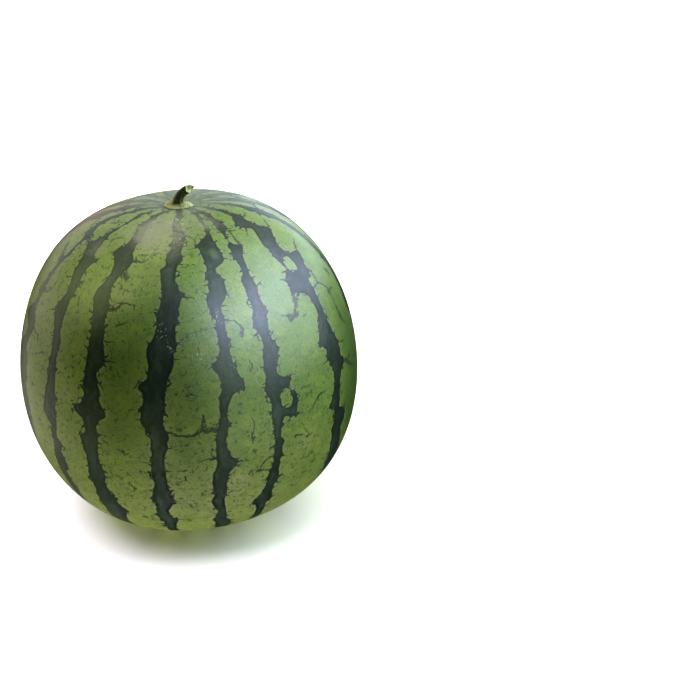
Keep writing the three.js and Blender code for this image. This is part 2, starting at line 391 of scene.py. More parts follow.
STRIPES = {
    "far left": [
        (90, -84, -74), (76, -84, -76), (70, -83, -77), (66, -84, -77), (62, -81, -75),
        (59, -78, -70), (57, -74, -68), (55, -71, -69), (52, -70.5, -67.8), (50, -69.6, -67),
        (47, -72, -67.6), (44, -71, -67.4), (41, -70, -67.5), (38, -71, -68), (35, -71, -66),
        (31, -69.6, -66.5), (28, -73, -65), (25, -76, -62.5), (23, -69, -62), (20, -69, -65),
        (15, -74, -65), (10, -72.5, -62.5), (5, -71, -63), (0, -68, -61.5), (-5, -67, -60),
        (-12, -66, -60), (-20, -67, -61), (-32, -66, -59), (-45, -67, -61), (-90, -67, -61),
    ],
    "left": [
        (90, -66, -58), (75, -64, -60), (71, -60, -56.4), (66, -58.6, -56), (63.5, -59.5, -56),
        (61, -59.2, -54.2), (59, -60, -52.6), (57, -65, -51.6), (55, -60, -49.5),
        (53, -57.5, -46), (50, -55.4, -47), (47.5, -54.3, -46.8), (44, -51.2, -45.4),
        (40, -50.3, -45.7), (36, -51.8, -45.3), (34, -52.2, -45.2), (32, -50.3, -45),
        (29, -48.6, -44.4), (26, -47.4, -42.7), (23, -46.8, -43.6), (18, -47, -43.2),
        (12, -47.1, -42.8), (8, -48, -42.4), (1, -49.2, -42.3), (-1, -47, -42),
        (-3, -45.6, -42.6), (-7, -45.2, -42.6), (-9, -45.3, -40.4), (-11, -45.3, -42),
        (-16, -46.5, -40.3), (-20, -46.3, -42.4), (-26, -45.2, -40.5), (-35, -46, -41.5),
        (-45, -45.5, -41), (-90, -46, -41),
    ],
    "left of middle": [
        (90, -47, -38), (78, -45, -37), (72, -43, -31), (68, -38, -28.5), (64, -35.8, -28.4),
        (62, -35.5, -27.5), (60, -39.5, -26.3), (58.5, -38.2, -24), (56, -35, -23.5),
        (54, -32.8, -24.6), (51, -32, -26.4), (48, -33, -27.8), (46, -34.4, -27.3),
        (43, -35, -26.4), (40.5, -33.6, -24.6), (38, -31.8, -25.6), (35, -31, -25.3),
        (32, -30.2, -24.4), (28, -30.3, -23.5), (24, -30, -22.6), (21, -29.9, -25.5),
        (18, -30.4, -24.6), (15, -30.4, -23.4), (12, -30, -23.7), (10, -31, -22.2),
        (8.5, -33.8, -21.2), (7, -33.9, -21.6), (5, -30.2, -24.3), (3, -29.2, -24.8),
        (0, -29.6, -24.5), (-1.5, -31.8, -24.6), (-5, -31, -24.8), (-9, -30, -25),
        (-12, -29.9, -24), (-15, -30.8, -23.4), (-18, -30, -24.7), (-22, -29.6, -23.6),
        (-25, -30.3, -22.6), (-28, -30.2, -21), (-30, -29.6, -19.3), (-32, -29.2, -20.6),
        (-37, -31, -22.6), (-45, -31, -23), (-90, -31, -22),
    ],
    "middle": [
        (90, -9, 5), (80, -8, 4), (76, -6, 5), (72, -4.4, 6), (69.5, -3.1, 7.4),
        (67, -2.2, 7.2), (64, -2, 6.2), (61.5, -3.8, 5.6), (59, -3.5, 5.9), (57, -4, 3.1),
        (55, -6.6, 2), (52, -5, 2), (49, -4, 3.4), (46.5, -3.6, 5.2), (44, -3.9, 4.3),
        (41, -5.2, 3.2), (37, -5, 2.3), (34, -5.6, 2.2), (31.5, -7.6, 3), (29, -8.1, 1.6),
        (26, -7.2, 1.6), (22, -7.3, -0.3), (20, -8.8, -0.8), (18.5, -10.6, -1.4),
        (16.5, -8.6, -1.6), (12, -9.1, -1.9), (9, -9.7, -2.3), (7, -9.6, -2.6),
        (5, -8, -1.8), (2.5, -6.9, -0.9), (-1, -6.8, -1.4), (-5, -7, -2.7), (-8, -7.3, -3),
        (-12, -7.4, -2.9), (-16, -7.1, -2.4), (-19.5, -8.1, -2), (-21.5, -8.5, -1.1),
        (-24, -7.6, -1.8), (-27.5, -8, -3.7), (-31, -8.3, -3), (-33, -7.9, -1),
        (-35, -7, -1.8), (-40, -6.9, -3), (-50, -8, -3.5), (-90, -9, -3),
    ],
    "right of middle": [
        (90, 27, 40), (80, 30, 39), (76, 28.5, 35), (72, 28.4, 32), (69, 26.6, 30.4),
        (66.6, 20, 29.5), (64, 15.2, 29.6), (62.5, 17, 29.6), (59, 18, 30), (57.4, 18.2, 30.2),
        (56, 18.3, 27.4), (54.5, 18.2, 23), (52.5, 16.4, 22.4), (50.5, 17, 25), (47, 16.4, 24.6),
        (45, 14.9, 23.9), (43, 15.2, 21), (41, 15.9, 20.3), (38, 17.3, 21), (34, 17.2, 20.4),
        (29, 16.8, 20.8), (26, 16, 21), (24.2, 13.9, 21), (22, 15.4, 21.5), (20, 16.2, 23.4),
        (18, 16.6, 24.3), (16.5, 16.4, 23.2), (15, 15.5, 20.2), (12, 15.1, 18.2),
        (8, 15, 17.4), (6, 14.6, 18.2), (3, 13.8, 17.3), (0, 13.2, 16.6), (-3, 13.3, 16.8),
        (-6, 13.1, 18), (-8, 13.3, 20.6), (-10, 13.2, 18.6), (-12, 12, 17), (-15, 11.6, 16.3),
        (-18, 11.9, 16.4), (-21, 12.3, 15.9), (-23.5, 11, 15.8), (-26, 11.8, 15.8),
        (-29, 13.2, 16.3), (-32, 13, 17), (-35, 11.4, 17), (-38, 12.8, 19), (-42, 13, 20.5),
        (-55, 13, 18.5), (-90, 12, 18),
    ],
    "right": [
        (90, 46, 58), (79, 46, 56), (75, 42.6, 50.3), (71, 40.2, 50.6), (69.2, 40, 50),
        (67, 39.8, 41.8), (64, 38.8, 40.9), (62, 37.6, 40.6), (60.6, 36.8, 46),
        (59.4, 36.4, 45.2), (58, 36, 42.4), (55, 36.1, 40.4), (51.5, 35.7, 38.9), (49, 33.2, 38.8),
        (46.5, 33, 39.2), (43, 33, 37.9), (39, 33.2, 38.2), (36, 31.2, 37.8), (33.5, 31.4, 37.2),
        (30, 33.2, 36.6), (27, 32.6, 38.3), (25.5, 32.2, 38.9), (22.5, 31.7, 36.7),
        (18, 31.4, 36), (16.6, 31, 37.8), (15.6, 30.9, 41.4), (14, 30.5, 40.3), (12, 31.7, 40.3),
        (9, 32.3, 42.3), (5, 32.3, 42), (3, 32.3, 41.2), (1.5, 32.4, 38.4), (0, 32.5, 35.2),
        (-3, 32.6, 34.9), (-5.4, 32.5, 36.4), (-7, 32.3, 35.4), (-10, 32.2, 35.6),
        (-13, 32, 34.8), (-16, 30.8, 34.4), (-19.5, 30.3, 35.2), (-21.5, 30.1, 33.5),
        (-25, 28.5, 33.2), (-27.5, 26.8, 33.4), (-29, 25.9, 33.6), (-30.4, 27.6, 32.4),
        (-34, 28.8, 32), (-40, 28.8, 33), (-55, 29.5, 34), (-90, 30, 36),
    ],
    "far right": [
        (90, 72, 86), (79, 71, 80), (75, 71, 77.4), (72, 69.2, 79), (69.8, 62, 79),
        (68.6, 58, 75.6), (66, 61.4, 74.2), (64.4, 66.4, 74.4), (62, 64.2, 76), (60, 61.4, 80),
        (58, 59.4, 74.4), (56, 59.4, 70), (54, 59.3, 68.2), (52, 57.9, 68.3), (50, 58.5, 69.8),
        (49, 59, 77.5), (47, 59.2, 76), (45, 55.6, 73), (43.5, 53.9, 72.2), (41.5, 54.8, 71.6),
        (40, 54.4, 67.6), (38.4, 57.6, 66.5), (36.5, 61.4, 67.2), (33, 61.8, 66),
        (29, 61.4, 65.7), (26, 59.4, 65.5), (23, 57.5, 66.3), (20.3, 56.8, 67.2),
        (18, 59.4, 67.8), (15, 58.5, 68), (12.5, 60, 67.7), (10, 60.8, 69.3), (8.4, 60.9, 67.6),
        (6, 60.8, 65.2), (3.5, 59.7, 64.3), (0, 58, 63.5), (-2, 56, 63.2), (-4, 60.2, 62.9),
        (-6.4, 59.6, 66), (-9, 59.4, 67.6), (-11.4, 57.9, 67.4), (-13, 58.9, 64.7),
        (-18, 59.3, 66.4), (-24, 59.5, 68.8), (-32, 60, 67), (-45, 61, 67), (-90, 60, 68),
    ],
    "right edge": [
        (90, 98, 110), (78, 98, 106), (70, 97, 104), (64, 94, 105), (58, 96, 103),
        (50, 95, 101), (42, 94, 99), (34, 93, 99), (26, 90, 98), (21, 88, 97), (16, 90, 96),
        (12, 87, 95), (6, 90, 96), (-4, 91, 97), (-15, 89, 98), (-28, 91, 97), (-45, 90, 97),
        (-90, 90, 98),
    ],
}

# Dark lines across the light bands: half width in mm at the start and at the end, then
# the bearings and latitudes that the line runs through
LINES = [
    # arms of the far left stripe
    (1.6, 1.2, [(-73, 46.5), (-75, 48.5), (-79.5, 50.6)]),
    (1.5, 1.2, [(-71, 57.2), (-66, 57), (-62, 57)]),
    (1.6, 0.8, [(-68, 37.6), (-65, 36.2), (-62.5, 37), (-61, 39), (-60.4, 41)]),
    (1.3, 0.3, [(-63, 24.6), (-60, 23.6), (-56.6, 24.2)]),
    (1.1, 0.4, [(-73.5, 58.2), (-78, 58.6), (-82, 60.5)]),
    # arms of the left stripe
    (1.0, 0.3, [(-60, 63), (-61, 64.4), (-63, 65)]),
    (0.9, 0.4, [(-70, 66.4), (-66, 68), (-62.5, 69.5), (-59, 70.6)]),
    (0.9, 0.3, [(-53, 45.6), (-55, 45), (-57.4, 44.7)]),
    (1.3, 0.3, [(-50.6, 34.6), (-53, 34), (-55.8, 33.1)]),
    (0.8, 0.3, [(-47, 54), (-45, 54.6), (-44, 55)]),
    (0.7, 0.2, [(-42, -8.8), (-39, -9)]),
    (0.7, 0.2, [(-51.4, 20.2), (-54.5, 18.6), (-57.8, 17.4)]),
    (0.7, 0.3, [(-43, 64.3), (-46.8, 63.6), (-49, 62.2), (-47.4, 60.6), (-45.6, 60)]),
    # arms of the stripe left of the middle
    (1.2, 0.4, [(-24.4, 57.5), (-20, 57.6), (-17.4, 57.4), (-15, 58.7)]),
    (1.6, 1.5, [(-27, 52.4), (-24.4, 52.4), (-22.6, 51.2)]),
    (1.0, 0.3, [(-22.6, 51.2), (-20.6, 51.6)]),
    (1.1, 0.3, [(-25, 40.4), (-23, 40.6), (-21.4, 41.4), (-20.8, 42.9), (-18.6, 43.4),
                (-16.6, 43), (-15.2, 43.1), (-14.2, 41.4)]),
    (0.8, 0.2, [(-23.6, 30.9), (-19.8, 31.1)]),
    (1.0, 0.3, [(-23.4, 25.2), (-18.9, 25.3)]),
    (0.7, 0.2, [(-24.6, 1), (-22, 0.8), (-19.2, 0)]),
    (0.9, 0.3, [(-34.2, 6.6), (-34.4, 5.2)]),
    (0.8, 0.3, [(-24.4, -12.4), (-22.6, -12.8)]),
    (0.8, 0.3, [(-24, -22.8), (-22, -22.7)]),
    # arms of the middle stripe
    (1.0, 0.4, [(7, 67.6), (9, 68.8), (12, 69.2), (14.4, 67.6), (16, 66)]),
    (1.0, 0.3, [(4.6, 46.6), (7, 46), (9.8, 45.8), (10.2, 45)]),
    (0.9, 0.3, [(2.2, 32), (3.8, 31.8), (5, 31)]),
    (0.9, 0.3, [(1.4, 27.6), (3.3, 27.5)]),
    (0.7, 0.2, [(-5, 42.1), (-7.4, 42.4)]),
    (0.8, 0.2, [(-9.2, 8), (-11.1, 8)]),
    (0.6, 0.15, [(-7, -7.6), (-9, -6.8), (-11, -6.4)]),
    (0.8, 0.15, [(-3, -9.6), (-0.6, -9.7)]),
    (0.8, 0.15, [(-2.8, -13.9), (-1, -14.1)]),
    (0.8, 0.8, [(-1.6, -33.2), (0.4, -33.3)]),
    # the bridge from the middle stripe to the next one, and its hook
    (0.9, 1.1, [(-2, 4.6), (0, 4), (2.2, 3.1), (5, 2.9), (7.4, 3.4), (8.4, 4.3)]),
    (2.0, 2.9, [(9.2, 4.6), (11.5, 4.3), (14, 4.2)]),
    (1.6, 0.8, [(9.8, 5.4), (9.9, 7), (10, 9.4)]),
    # arms of the stripe right of the middle
    (0.9, 0.4, [(20, 38), (22.4, 37.6), (24.6, 37)]),
    (0.8, 1.3, [(24.6, 37), (26.2, 35.6), (26.8, 34), (26, 32.6)]),
    (0.8, 0.2, [(13.6, -5.7), (11.5, -5.8), (9.5, -6), (7.6, -6.9)]),
    (0.8, 0.2, [(20, -8), (22, -8.4), (24.4, -9.2)]),
    (0.8, 0.2, [(15, 45), (14, 45.3)]),
    (0.7, 0.2, [(21, 29.8), (22.6, 29.4)]),
    (0.7, 0.2, [(16.2, -18.9), (17.4, -18.9)]),
    (0.8, 0.3, [(29.6, 57.6), (31.8, 57.4)]),
    # arms of the right stripe
    (1.1, 0.8, [(45.4, 60.6), (45.4, 63), (46, 65.4), (47.6, 67)]),
    (1.2, 0.4, [(48, 67.4), (50, 67.2), (53, 66.9)]),
    (0.9, 0.2, [(38.8, 46), (41, 46.4), (43.4, 47.2)]),
    (0.6, 0.2, [(41.2, 46), (42.6, 44.2)]),
    (1.2, 0.3, [(39, 16), (41.4, 16.1), (43, 15.8)]),
    (0.9, 0.4, [(32.4, -9.4), (30, -9.8), (28.6, -11.2), (27.4, -13.2)]),
    (1.2, 0.4, [(27, -13.8), (29, -14), (31.6, -14.9)]),
    (0.8, 0.3, [(26.2, -29), (25, -30), (23.6, -30.3)]),
    (0.7, 0.2, [(31, 14), (29.9, 13.6)]),
    # arms of the far right stripe
    (1.0, 0.3, [(62, 65.4), (60, 64.4), (57, 63.2)]),
    (1.1, 0.4, [(79, 60.2), (82, 60.8), (85, 62.1), (88.4, 63.2)]),
    (1.0, 0.4, [(78, 69.4), (83, 69.2), (88, 69.4)]),
    (1.0, 0.4, [(54.4, 44), (52.8, 44.8), (51.8, 44.8)]),
    (1.4, 0.3, [(76, 48.8), (79, 49.9), (81, 51), (85, 51.4)]),
    (3.4, 2.2, [(56, 40.4), (54, 38.6), (53, 37.6)]),
    (2.2, 1.6, [(53.6, 37), (52, 35.2), (50.6, 34)]),
    (1.8, 0.5, [(51, 33.4), (48.4, 33.2), (46.2, 33.8), (44.4, 34.5)]),
    (1.7, 1.0, [(50.4, 32.8), (48.6, 32.4), (47.2, 32.2)]),
    (1.0, 0.8, [(72, 44.6), (71.4, 43), (72.4, 41), (72.6, 39), (72, 37.4)]),
    (0.8, 1.0, [(67, 36.9), (69.4, 36.8), (72, 37.4), (74.4, 35.4), (76, 33.8)]),
    (1.7, 0.3, [(76, 32), (78.4, 32.1), (81.6, 31.4)]),
    (0.9, 0.4, [(76, 31), (76.2, 29), (75.6, 26.4)]),
    (1.6, 1.7, [(75.9, 25.6), (76.2, 23), (76.4, 21.6)]),
    (0.9, 0.3, [(76.4, 21.4), (77, 20), (80, 18.8)]),
    (1.6, 1.5, [(68, 10), (71, 9), (74.2, 8.9)]),
    (1.3, 1.2, [(70.5, 8.6), (73.2, 6.8), (75.4, 5)]),
    (1.0, 0.3, [(75.4, 5), (77, 4), (80, 2.6)]),
    (0.8, 0.2, [(58.8, 14.4), (56, 14)]),
    (0.8, 0.3, [(59, -7.8), (57, -8)]),
    (1.4, 1.2, [(65, -6.8), (67.6, -5.6)]),
    (0.7, 0.2, [(69.6, 16.2), (72, 15.8), (74, 15)]),
    # a loose line in the band before it
    (0.6, 0.8, [(48.6, 2.4), (50, 4), (51.8, 5)]),
    (0.8, 0.3, [(51.8, 5), (53.4, 5.4), (55.6, 5)]),
]

# Loose short dark lines and specks in the light bands, written in the same way
SHORT_LINES = [
    (0.6, 0.6, [(-17.4, -3.2), (-15.8, -4), (-14.4, -4)]),
    (1.2, 0.5, [(-15.9, -3.8), (-15.6, -5.4)]),
    (0.8, 0.5, [(-14.4, -16.6), (-13.4, -17.6), (-14.2, -18.6)]),
    (0.9, 0.7, [(3.3, -12.2), (3.5, -13.4)]),
    (0.4, 0.6, [(0.8, -9.6), (2.2, -9.8), (3.8, -9.6)]),
    (0.4, 0.5, [(0.4, -14.1), (1.8, -14)]),
    (0.9, 0.6, [(-13.8, -32.4), (-12.4, -33)]),
    (0.9, 0.6, [(-41.2, 40.6), (-40.6, 39)]),
    (1.0, 0.5, [(45.6, -7.4), (47.8, -7)]),
    (0.4, 0.5, [(25.4, 6), (26.1, 4.4), (26, 2.8), (25.4, 1.2)]),
    (0.6, 1.1, [(25.4, 1.2), (25, -0.4)]),
    (0.5, 0.4, [(23.6, 0), (25, -0.3), (26.6, -0.9)]),
    (0.7, 0.4, [(25, -0.6), (25.1, -2.6)]),
    (0.7, 0.5, [(26.8, 21.4), (27.6, 22.8), (26.8, 24.6)]),
    (0.9, 0.6, [(49.4, -19.4), (50.8, -19.2)]),
    (0.7, 0.5, [(40.6, -5), (43.4, -5.6)]),
    (1.6, 1.2, [(85.8, 37), (87, 34.8)]),
    (0.8, 0.5, [(-57.4, 7.4), (-55.8, 7.2)]),
    (0.8, 0.5, [(-58, 23.4), (-56.8, 22.6)]),
    (0.8, 0.5, [(-52.8, -4.2), (-51.8, -3.8)]),
    (0.9, 0.6, [(-51.6, -11.8), (-50.2, -11.4)]),
    (0.8, 0.5, [(-11.6, 61.2), (-9.4, 61.9)]),
    (1.1, 0.6, [(11, 73), (14.6, 73.3)]),
    (0.7, 0.4, [(-20, 36.2), (-18, 37), (-16.6, 37.8)]),
    (1.0, 0.6, [(-67.2, 59.2), (-65.8, 58.8)]),
    (0.6, 0.4, [(-39.4, 53.2), (-37.8, 52.3)]),
    (0.7, 0.5, [(54, 31.6), (55.4, 31.8)]),
    (0.6, 0.4, [(47, -15.2), (48, -14.6)]),
    (0.8, 0.5, [(45.4, -22.2), (46.8, -22.6)]),
    (0.8, 0.5, [(41.8, -26.8), (43.2, -27.3)]),
    (0.7, 0.5, [(4, -24.4), (4.6, -25.8)]),
    (1.4, 0.8, [(-26, 75.4), (-18.5, 75.6)]),
    (0.6, 0.4, [(5.2, 16), (6.4, 16.8), (8.4, 15.9)]),
]

# Light windows inside the stripes: bearing, latitude, half width and half height in
# degrees
WINDOWS = [
    (63.7, 47.7, 3.2, 3.6), (69, 39, 1.9, 1.6), (37.8, 10.8, 2.1, 1.8), (38.2, 8.4, 2.2, 2.4),
    (37, 2, 1.2, 1.2), (43, 65, 2.0, 4.0), (30.4, -12, 1.1, 1.4), (-71.9, 49, 2.2, 1.8),
    (-59.6, 67, 1.0, 2.6),
]
# A dull window, where the dark stripe only thins to a clouded green
CLOUD = (25, 60.4, 3.4, 2.8)

# Broad darker (below 0) and paler places of the rind: bearing, latitude, spread in degrees
# and strength. The lists after it are written in the same way. These places are partly the
# rind's own tone and partly painted light: painted shade on the +X rim and left of the
# middle, and painted highlight on the upper +X bands.
TONES_AND_PAINTED_LIGHT = [
    (-20, 25, 9, -0.3), (-20, 13, 9, -0.22), (-20, 2, 9, -0.25), (-14, 4, 12, -0.28),
    (-58, 8, 12, -0.25), (-50, -14, 12, -0.2), (80, -8, 18, -0.65), (84, 15, 20, -0.65),
    (46, -34, 12, -0.1), (28, 50, 7, 0.18), (38, 55, 9, -0.25), (6, -3, 8, -0.3),
    (47, 17, 7, -0.22), (28, 12, 8, -0.15), (70, 58, 9, 0.35), (-14, 27, 8, -0.2),
    (4, 16, 10, -0.4), (-28, 44, 8, 0.35), (-30, -32, 10, 0.1), (-74, 20, 12, 0.4),
    (-36, 62, 12, 0.3), (-14, 66, 8, 0.75), (8, -32, 14, -0.12), (44, -30, 10, -0.15),
    (76, -14, 12, -0.4), (-38, 14, 8, 0.40), (-53, 35, 8, 0.40), (-20, 45, 6, 0.40),
    (45, -9, 7, 0.40), (21, -16, 6, 0.45), (30, 47, 6, 0.3), (42, 37, 6, -0.35), (45, 47, 7, -0.2),
    (1, 45, 4, -0.3), (-64, 18, 6, 0.2), (1, 43, 4, -0.35), (-30, 41, 3, -0.3),
    (-27, 75, 3.5, -0.25), (-64, 50, 6, 0.3), (-14, -31, 7, -0.22), (26, -30, 6, 0.2),
    (48, 2, 6, 0.12), (170, 10, 30, -0.3), (-130, 30, 25, 0.2),
]
# Dusty places, partly a painted brown-grey sheen near the crown
DUSTY_PLACES_AND_SHEEN = [
    (2, 71, 4.0, 0.45), (0, 64, 4.0, 0.32), (-2, 78, 4.0, 0.35), (-23, 69, 3.0, 0.8),
    (-19, 66, 4.0, 0.45), (-27, 73, 3.0, 0.5), (14, 82, 4.0, 0.25), (-35, 69, 5.0, 0.45),
    (-21, 74, 4.5, 0.55), (-52, 57, 3.5, 0.25), (33, 74, 4.5, 0.35),
]
# Where the stripes are faded and grey, partly as a painted sheen where the highlight falls
FADES_AND_SHEEN = [
    (2, 54, 7, 0.6), (-30, 50, 6, 0.5), (34, 35, 6, 0.5), (-52, 50, 8, 0.4), (23, 50, 7, 0.4),
    (-27, -6, 9, 0.45), (-5, -8, 9, 0.4), (-5, -28, 9, 0.5), (14, -24, 9, 0.4), (34, 2, 9, 0.5),
    (18, 27, 7, 0.25), (-45, 10, 9, 0.3), (160, 20, 30, 0.4), (-120, -10, 20, 0.4),
]
# Where the rind is scuffed with pale flecks, which are partly painted glints
SCUFFS_AND_GLINTS = [
    (-3, 36, 2.6, 1.0), (0, 31, 2.0, 0.7), (9, 28, 2.6, 0.8), (19, 39, 2.4, 0.8),
    (-1, 77, 3.0, 1.0), (3, 68, 3.2, 0.9), (-26, 70, 3.0, 0.5), (6, 16, 2.4, 0.5),
    (150, 40, 4.0, 0.8), (-140, 62, 3.0, 0.7),
]
# Painted reflection: a red reflection painted on the upper -X rim
PAINTED_RED_REFLECTIONS = [(-104, 50, 11, 0.8), (-86, 34, 6, 0.3), (-112, 64, 7, 0.3)]

HIDDEN_STRIPES = [119, 139, 162, 183, 204, 226, 247, 265]  # bearings on the far side

EDGE_STEP = 0.25  # degrees of latitude between the samples of a stripe's edge
EDGE_EASE = [0.1, 0.2, 0.4, 0.2, 0.1]  # weights that ease the edge's corners
FAR_OUTSIDE = -20 * MM  # the depth where no stripe is near
NO_LINE = -1.0  # the reach, in metres, where no line is near
FAR_SIDE = 9  # the side, in half widths, where no line is near
# A line is worked out on the points whose angle from its middle has at least this cosine,
# less half the line's length in radii
NEAR_COSINE = 0.97


def edge_depth(bearing, latitude, level, stripe, radius):
    """How far inside a stripe each point lies, in metres, and below 0 outside it."""
    rows = np.array(sorted(stripe), float)
    fine = np.arange(-90.0, 90.01, EDGE_STEP)
    depth = np.full(len(bearing), np.inf)
    for column, side in ((1, 1.0), (2, -1.0)):
        edge = np.interp(fine, rows[:, 0], rows[:, column])
        edge = np.convolve(np.pad(edge, len(EDGE_EASE) // 2, "edge"), EDGE_EASE, "valid")
        slope = np.interp(latitude, fine, np.gradient(edge, fine)) * level
        across = side * ((bearing - np.interp(latitude, fine, edge) + 180) % 360 - 180)
        across = across * DEGREE * level * radius
        depth = np.minimum(depth, across / np.sqrt(1 + slope**2))
    return depth


def line_fields(units, radius, lines):
    """The nearest line: how far inside it each point lies, in metres, and the side it is on.

    The side runs from -1 at one edge of the line to 1 at the other. It changes evenly from
    point to point, so that a line thinner than the mesh still draws whole.
    """
    reach = np.full(len(units), NO_LINE)
    side = np.full(len(units), float(FAR_SIDE))
    for first, last, route in lines:
        points = np.array([direction(*place) for place in route])
        steps = np.diff(points, axis=0)
        lengths = np.linalg.norm(steps, axis=1)
        done = np.concatenate([[0.0], np.cumsum(lengths)]) / lengths.sum()
        cosines = units @ points.mean(0)
        near = np.flatnonzero(cosines > NEAR_COSINE - 0.5 * lengths.sum())
        close = units[near]
        for index, (step, length) in enumerate(zip(steps, lengths)):
            start, end = points[index : index + 2]
            along = np.clip((close - start) @ step / length**2, 0, 1)
            gap = np.linalg.norm(close - start - along[:, None] * step, axis=1) * radius
            share = done[index] + along * (done[index + 1] - done[index])
            half = (first + (last - first) * share) * MM
            wall = np.cross(start, end)
            across = close @ (wall / np.linalg.norm(wall)) * radius
            better = half - gap > reach[near]
            reach[near[better]] = (half - gap)[better]
            side[near[better]] = np.clip(across / half, -FAR_SIDE, FAR_SIDE)[better]
    return reach, side


def oval_depth(bearing, latitude, level, oval, radius):
    """How far inside an oval each point lies, in metres, and below 0 outside it."""
    middle, height, half_width, half_height = oval
    away = ((bearing - middle + 180) % 360 - 180) / half_width
    up = (latitude - height) / half_height
    smaller = np.minimum(half_width * level, half_height) * DEGREE * radius
    return (1 - np.hypot(away, up)) * smaller


def spots(units, areas):
    """The sum of soft round spots, for lists of bearing, latitude, spread and strength."""
    total = np.zeros(len(units))
    for bearing, latitude, spread, strength in areas:
        cosine = units @ np.array(direction(bearing, latitude))
        total += strength * np.exp((cosine - 1) * narrowness(spread))
    return total


# Stripes and lines of the far side, in degrees
FAR_HALF_WIDTH = (2.4, 1.6)  # the least, and what chance adds
FAR_ENDS = (5, 3)  # half widths at the stem end and at the blossom end
FAR_SWAY = 0.5  # how far a stripe sways at each row
FAR_PULL = 0.08  # how strongly it is drawn back to its middle
FAR_ROWS = range(78, -84, -4)  # latitudes of a stripe's points
FAR_LINE_ROWS = range(66, -70, -9)  # latitudes where lines may leave it
ENDS_FROM = 50  # the latitude above which a stripe widens towards the stem end
ENDS_SPREAD = 28
WIDENING = 0.9  # of the stripe at its upper end, and of a knot at most
EVENNESS = 0.75  # the least share of a half width that chance leaves; at most 0.5 more
KNOT_CHANCE = 0.22
GAP_CHANCE = 0.45  # that no line leaves a stripe at a place
LINE_START = 3  # from the stripe's middle
LINE_JITTER = 6  # how much higher chance may start a line
LINE_STEP = (0.8, 1.3)  # the least between a line's points, and what chance adds
LINE_WANDER = 1.6  # how far a line's points stray up and down
LEAST_LEVEL = 0.3  # keeps lines near the stem end from growing too long
LINE_WIDTH = (0.9, 0.8, 0.5)  # half widths in mm: least at the start, by chance, at the end


def grown_stripe(middle, draw):
    """A stripe of the far side: edges that wander, with a knot or a neck here and there."""
    top, foot = FAR_ENDS
    least, chance = FAR_HALF_WIDTH
    rows = [(90, middle - top, middle + top)]
    half = least + chance * draw.random()
    sway = middle
    for latitude in FAR_ROWS:
        sway += FAR_SWAY * draw.normal() - FAR_PULL * (sway - middle)
        ends = 1 + WIDENING * max(0.0, (latitude - ENDS_FROM) / ENDS_SPREAD)
        knot = 1 + (WIDENING * draw.random() if draw.random() < KNOT_CHANCE else 0.0)
        west, east = (half * ends * knot * (EVENNESS + 0.5 * draw.random()) for _ in range(2))
        rows.append((latitude + draw.random(), sway - west, sway + east))
    rows.append((-90, middle - foot, middle + foot))
    return rows


def grown_lines(middle, draw):
    """Short dark lines that leave a stripe of the far side, to either hand."""
    lines = []
    least, chance = LINE_STEP
    thin, thicker, end = LINE_WIDTH
    for latitude in FAR_LINE_ROWS:
        for side in (-1, 1):
            if draw.random() < GAP_CHANCE:
                continue
            spread = 1 / max(LEAST_LEVEL, math.cos(latitude * DEGREE))
            height = latitude + LINE_JITTER * draw.random()
            steps = 2 + int(3 * draw.random())
            reach = middle + side * LINE_START
            route = [(reach, height)]
            for _ in range(steps):
                reach += side * spread * (least + chance * draw.random())
                height += LINE_WANDER * draw.normal()
                route.append((reach, height))
            lines.append((thin + thicker * draw.random(), end, route))
    return lines


def mark_rind(fruit, settings):
    """Stores on each point how deep it lies in a stripe or a line, and how spotted it is, with
    painted light and shade among the spots.
    """
    mesh = fruit.data
    places = np.empty(len(mesh.vertices) * 3, np.float32)
    mesh.vertices.foreach_get("co", places)
    places = places.reshape(-1, 3).astype(float)
    places[:, 2] -= settings.heart_height
    units = places / np.linalg.norm(places, axis=1)[:, None]
    radius = settings.mean_radius
    latitude = np.degrees(np.arcsin(np.clip(units[:, 2], -1, 1)))
    bearing = np.degrees(np.arctan2(units[:, 0], -units[:, 1]))
    level = np.maximum(np.cos(np.radians(latitude)), 0.02)  # not quite 0 at the ends
    grid = (bearing, latitude, level)

    draw = np.random.default_rng(settings.seed)
    stripes = list(STRIPES.values())
    lines = list(LINES)
    for middle in HIDDEN_STRIPES:
        stripes.append(grown_stripe(middle, draw))
        lines += grown_lines(middle, draw)

    depth = np.full(len(units), FAR_OUTSIDE)
    for stripe in stripes:
        depth = np.maximum(depth, edge_depth(*grid, stripe, radius))
    for window in WINDOWS:
        depth = np.minimum(depth, -oval_depth(*grid, window, radius))
    reach, side = line_fields(units, radius, lines + SHORT_LINES)
    areas = {"tone": TONES_AND_PAINTED_LIGHT, "dust_and_sheen": DUSTY_PLACES_AND_SHEEN, "fade": FADES_AND_SHEEN, "scuffs_and_glints": SCUFFS_AND_GLINTS, "painted_red_reflection": PAINTED_RED_REFLECTIONS}
    store(mesh, {
        "stripe_depth": depth / MM,
        "stripe_cloud": oval_depth(*grid, CLOUD, radius) / MM,
        "line_reach": reach / MM,
        "line_side": side,
        **{name: spots(units, area) for name, area in areas.items()},
    })


# ---------------------------------------------------------------- materials

LEVEL = (1.0, 1.0, 0.0)  # keeps a place's X and Y and drops its Z

# The rind's patterns: features for each millimetre
CELL_SCALE = 0.12  # the round cells of the bands
FINE_CELL_SCALE = 0.36
DASH_CELL_SCALE = 0.17
SWIRL_SCALE = 0.2  # the bends of all those cells
PATCH_SCALE = 0.11  # where edges and strokes are stronger or weaker
LOBE_SCALE = 0.13
CLOUD_SCALE = 0.08
BROAD_HUE_SCALE = 0.035
LINE_SWAY_SCALE = 0.35
STROKE_PATCH_SCALE = 0.28
DASH_PATCH_SCALE = 0.30
SPECK_SCALE = 0.48
SMOKE_SCALE = 0.22  # the clouds inside the stripes
FLECK_GLINT_SCALE = 0.8
CRUMB_SCALE = 0.9
WAVE_RELIEF_SCALE = 0.25
SWIRL_REACH = 5.5  # how far the cells bend, in millimetres
